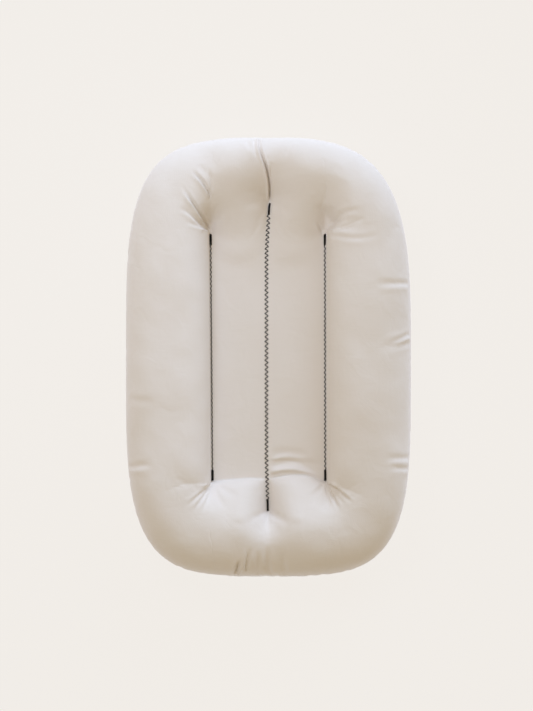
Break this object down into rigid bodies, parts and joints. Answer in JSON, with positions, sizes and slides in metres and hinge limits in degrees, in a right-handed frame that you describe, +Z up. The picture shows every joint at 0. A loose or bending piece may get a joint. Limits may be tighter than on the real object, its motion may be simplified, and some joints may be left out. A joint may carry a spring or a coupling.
{
  "type": "infant lounger",
  "caption": "Stuffed cotton ring cushion round a flat, unpadded sling that zigzag stitch lines hold down, for an infant to lie in.",
  "frame": {"origin": "on the floor, under the middle of the lounger's box", "axes": "+Y along the lounger's length towards the head end, +X to its right as seen from above, +Z up"},
  "size_m": [0.425, 0.6541, 0.11],
  "materials": {
    "cotton_casing": "matt woven cotton",
    "polyester_fibre": "loose fibre",
    "cream_seam_thread": "spun thread",
    "dark_stitch_thread": "spun thread"
  },
  "bodies": {
    "root": {"top_panel": "cotton_casing", "bottom_panel": "cotton_casing", "fibre_fill": "polyester_fibre", "edge_seam_thread": "cream_seam_thread", "foot_closing_stitch": "cream_seam_thread", "left_line_needle_thread": "dark_stitch_thread", "left_line_bobbin_thread": "dark_stitch_thread", "left_head_tack_top": "dark_stitch_thread", "left_head_tack_under": "dark_stitch_thread", "left_foot_tack_top": "dark_stitch_thread", "left_foot_tack_under": "dark_stitch_thread", "centre_line_needle_thread": "dark_stitch_thread", "centre_line_bobbin_thread": "dark_stitch_thread", "centre_head_tack_top": "dark_stitch_thread", "centre_head_tack_under": "dark_stitch_thread", "centre_foot_tack_top": "dark_stitch_thread", "centre_foot_tack_under": "dark_stitch_thread", "right_line_needle_thread": "dark_stitch_thread", "right_line_bobbin_thread": "dark_stitch_thread", "right_head_tack_top": "dark_stitch_thread", "right_head_tack_under": "dark_stitch_thread", "right_foot_tack_top": "dark_stitch_thread", "right_foot_tack_under": "dark_stitch_thread"}
  },
  "joints": []
}
